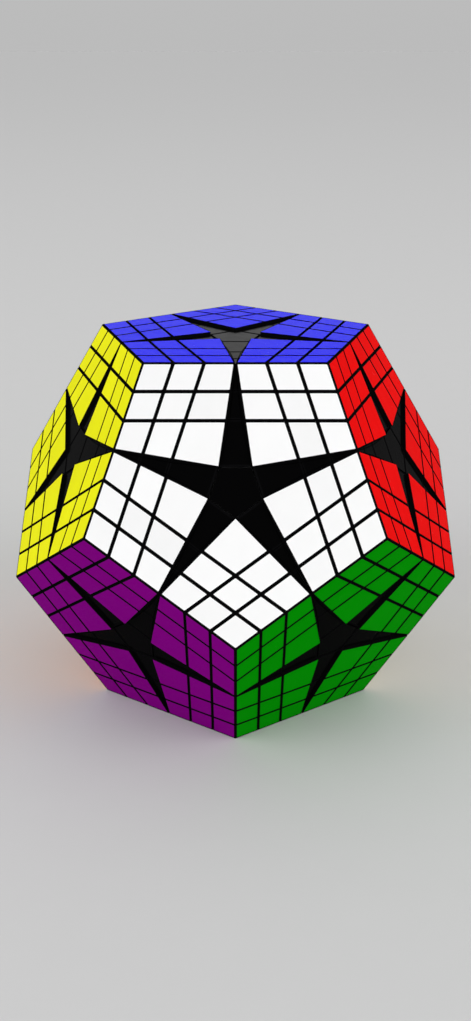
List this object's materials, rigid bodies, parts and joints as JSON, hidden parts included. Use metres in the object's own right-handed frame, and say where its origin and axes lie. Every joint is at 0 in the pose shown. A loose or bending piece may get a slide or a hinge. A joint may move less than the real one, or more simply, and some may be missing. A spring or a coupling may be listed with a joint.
{
  "type": "dodecahedron twisty puzzle",
  "caption": "Dodecahedron twisty puzzle with coloured kite-shaped groups of tiles, sunken stars in its faces and turning layers under each face.",
  "frame": {"origin": "centre of the puzzle, where the twelve face axes cross", "axes": "+Z out of the blue face, -Z out of the light blue face it stands on, and the white face looks along -Y and up"},
  "size_m": [0.1256, 0.1322, 0.1068],
  "materials": {
    "piece_plastic": "fine moulded black plastic",
    "cap_plastic": "satin black plastic",
    "frame_plastic": "moulded black plastic",
    "core_plastic": "moulded natural plastic",
    "screw_steel": "zinc-plated steel",
    "tile_white": "white coloured tile, satin",
    "tile_blue": "blue coloured tile, satin",
    "tile_red": "red coloured tile, satin",
    "tile_yellow": "yellow coloured tile, satin",
    "tile_green": "green coloured tile, satin",
    "tile_purple": "purple coloured tile, satin",
    "tile_grey": "grey coloured tile, satin",
    "tile_light_blue": "light_blue coloured tile, satin",
    "tile_cream": "cream coloured tile, satin",
    "tile_orange": "orange coloured tile, satin",
    "tile_lime": "lime coloured tile, satin",
    "tile_pink": "pink coloured tile, satin"
  },
  "bodies": {
    "core": {"axle_screw_blue": "screw_steel", "axle_screw_cream": "screw_steel", "axle_screw_green": "screw_steel", "axle_screw_grey": "screw_steel", "axle_screw_light_blue": "screw_steel", "axle_screw_lime": "screw_steel", "axle_screw_orange": "screw_steel", "axle_screw_pink": "screw_steel", "axle_screw_purple": "screw_steel", "axle_screw_red": "screw_steel", "axle_screw_white": "screw_steel", "axle_screw_yellow": "screw_steel", "core_spider": "core_plastic", "corner_blue_red_pink": "piece_plastic", "corner_pink_grey_cream": "piece_plastic", "corner_red_cream_green": "piece_plastic", "corner_red_pink_cream": "piece_plastic", "corner_yellow_purple_orange": "piece_plastic", "inner_frame": "frame_plastic", "star_cap_blue": "cap_plastic", "star_cap_cream": "cap_plastic", "star_cap_green": "cap_plastic", "star_cap_grey": "cap_plastic", "star_cap_orange": "cap_plastic", "star_cap_pink": "cap_plastic", "star_cap_purple": "cap_plastic", "star_cap_red": "cap_plastic", "star_cap_yellow": "cap_plastic", "wing_block_blue_red_pink": "piece_plastic", "wing_block_pink_grey_cream": "piece_plastic", "wing_block_red_cream_green": "piece_plastic", "wing_block_red_pink_cream": "piece_plastic", "wing_block_yellow_purple_orange": "piece_plastic"},
    "white_slice_1": {"white_layer_1": "piece_plastic", "corner_blue_white_red": "piece_plastic", "corner_blue_white_yellow": "piece_plastic", "corner_white_green_purple": "piece_plastic", "corner_white_red_green": "piece_plastic", "corner_white_yellow_purple": "piece_plastic", "star_cap_white": "cap_plastic"},
    "white_slice_2": {"white_layer_2": "piece_plastic"},
    "white_slice_3": {"white_layer_3": "piece_plastic"},
    "light_blue_slice_1": {"light_blue_layer_1": "piece_plastic", "corner_cream_green_light_blue": "piece_plastic", "corner_green_purple_light_blue": "piece_plastic", "corner_grey_cream_light_blue": "piece_plastic", "corner_grey_orange_light_blue": "piece_plastic", "corner_purple_orange_light_blue": "piece_plastic", "star_cap_light_blue": "cap_plastic"},
    "light_blue_slice_2": {"light_blue_layer_2": "piece_plastic"},
    "light_blue_slice_3": {"light_blue_layer_3": "piece_plastic"},
    "lime_slice_1": {"lime_layer_1": "piece_plastic", "corner_blue_lime_yellow": "piece_plastic", "corner_blue_pink_lime": "piece_plastic", "corner_lime_grey_orange": "piece_plastic", "corner_lime_yellow_orange": "piece_plastic", "corner_pink_lime_grey": "piece_plastic", "star_cap_lime": "cap_plastic"},
    "lime_slice_2": {"lime_layer_2": "piece_plastic"},
    "lime_slice_3": {"lime_layer_3": "piece_plastic"}
  },
  "joints": [
    {"name": "white_slice_1_turn", "type": "hinge", "parent": "core", "child": "white_slice_1", "pos_m": [0, 0, 0], "axis": [0, -0.8944, 0.4472], "continuous": true},
    {"name": "white_slice_2_turn", "type": "hinge", "parent": "core", "child": "white_slice_2", "pos_m": [0, 0, 0], "axis": [0, -0.8944, 0.4472], "continuous": true},
    {"name": "white_slice_3_turn", "type": "hinge", "parent": "core", "child": "white_slice_3", "pos_m": [0, 0, 0], "axis": [0, -0.8944, 0.4472], "continuous": true},
    {"name": "light_blue_slice_1_turn", "type": "hinge", "parent": "core", "child": "light_blue_slice_1", "pos_m": [0, 0, 0], "axis": [0, 0, -1], "continuous": true},
    {"name": "light_blue_slice_2_turn", "type": "hinge", "parent": "core", "child": "light_blue_slice_2", "pos_m": [0, 0, 0], "axis": [0, 0, -1], "continuous": true},
    {"name": "light_blue_slice_3_turn", "type": "hinge", "parent": "core", "child": "light_blue_slice_3", "pos_m": [0, 0, 0], "axis": [0, 0, -1], "continuous": true},
    {"name": "lime_slice_1_turn", "type": "hinge", "parent": "core", "child": "lime_slice_1", "pos_m": [0, 0, 0], "axis": [-0.5257, 0.7236, 0.4472], "continuous": true},
    {"name": "lime_slice_2_turn", "type": "hinge", "parent": "core", "child": "lime_slice_2", "pos_m": [0, 0, 0], "axis": [-0.5257, 0.7236, 0.4472], "continuous": true},
    {"name": "lime_slice_3_turn", "type": "hinge", "parent": "core", "child": "lime_slice_3", "pos_m": [0, 0, 0], "axis": [-0.5257, 0.7236, 0.4472], "continuous": true}
  ]
}
